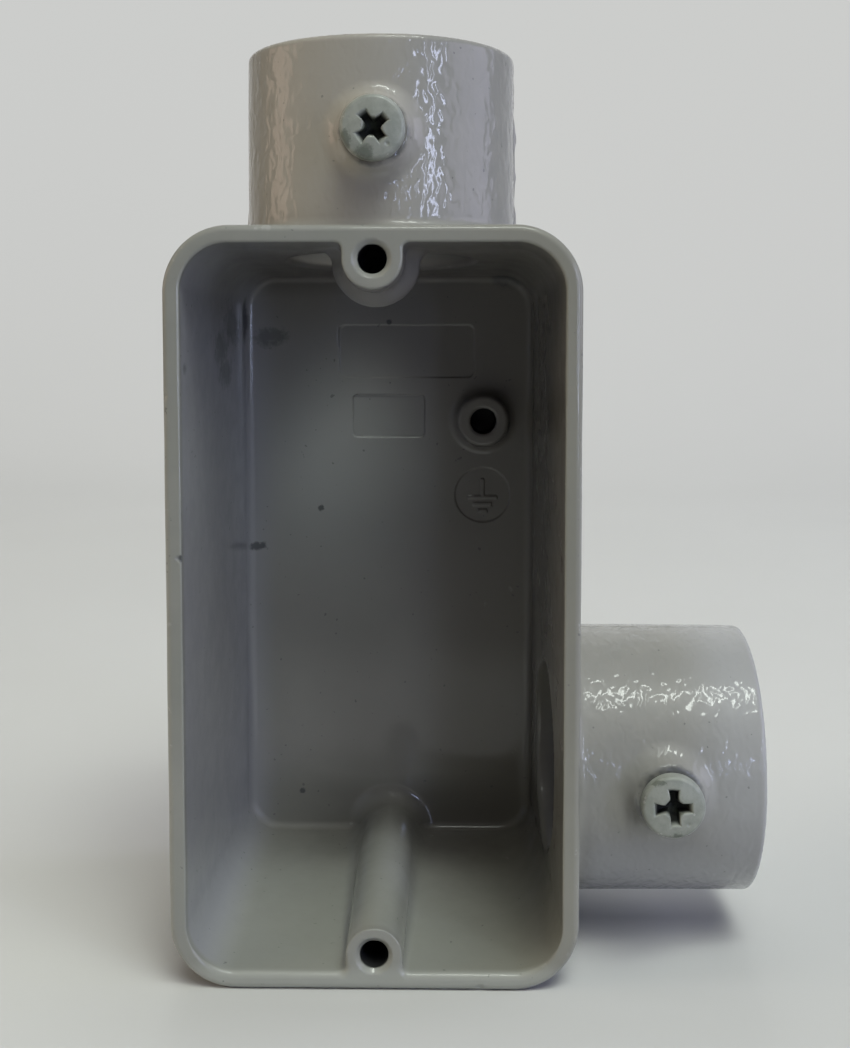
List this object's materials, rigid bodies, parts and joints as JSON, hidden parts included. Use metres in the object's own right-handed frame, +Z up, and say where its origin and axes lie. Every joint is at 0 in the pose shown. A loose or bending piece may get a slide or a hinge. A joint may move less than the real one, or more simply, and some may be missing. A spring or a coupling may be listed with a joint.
{
  "type": "electrical junction box",
  "caption": "Cast conduit body: a narrow open-front wiring box with a conduit hub on top and another on the side, each clamped by a set screw.",
  "frame": {"origin": "on the standing face of the box, where the middle plane of the box (x = 0) crosses the plane of both conduit axes (y = 0)", "axes": "+Z up along the top conduit axis, +X out along the side conduit axis, the open cover face looks along -Y"},
  "size_m": [0.0622, 0.04, 0.0978],
  "materials": {
    "enamelled_casting": "gloss enamel with orange peel",
    "plated_screw": "dull plated"
  },
  "bodies": {
    "casting": {"cast_body": "enamelled_casting"},
    "top_screw": {"top_set_screw": "plated_screw"},
    "side_screw": {"side_set_screw": "plated_screw"}
  },
  "joints": [
    {"name": "top_screw_travel", "type": "slide", "parent": "casting", "child": "top_screw", "axis": [0, -1, 0], "range_m": [-0.001, 0.003]},
    {"name": "side_screw_travel", "type": "slide", "parent": "casting", "child": "side_screw", "axis": [0, -1, 0], "range_m": [-0.001, 0.003]}
  ]
}
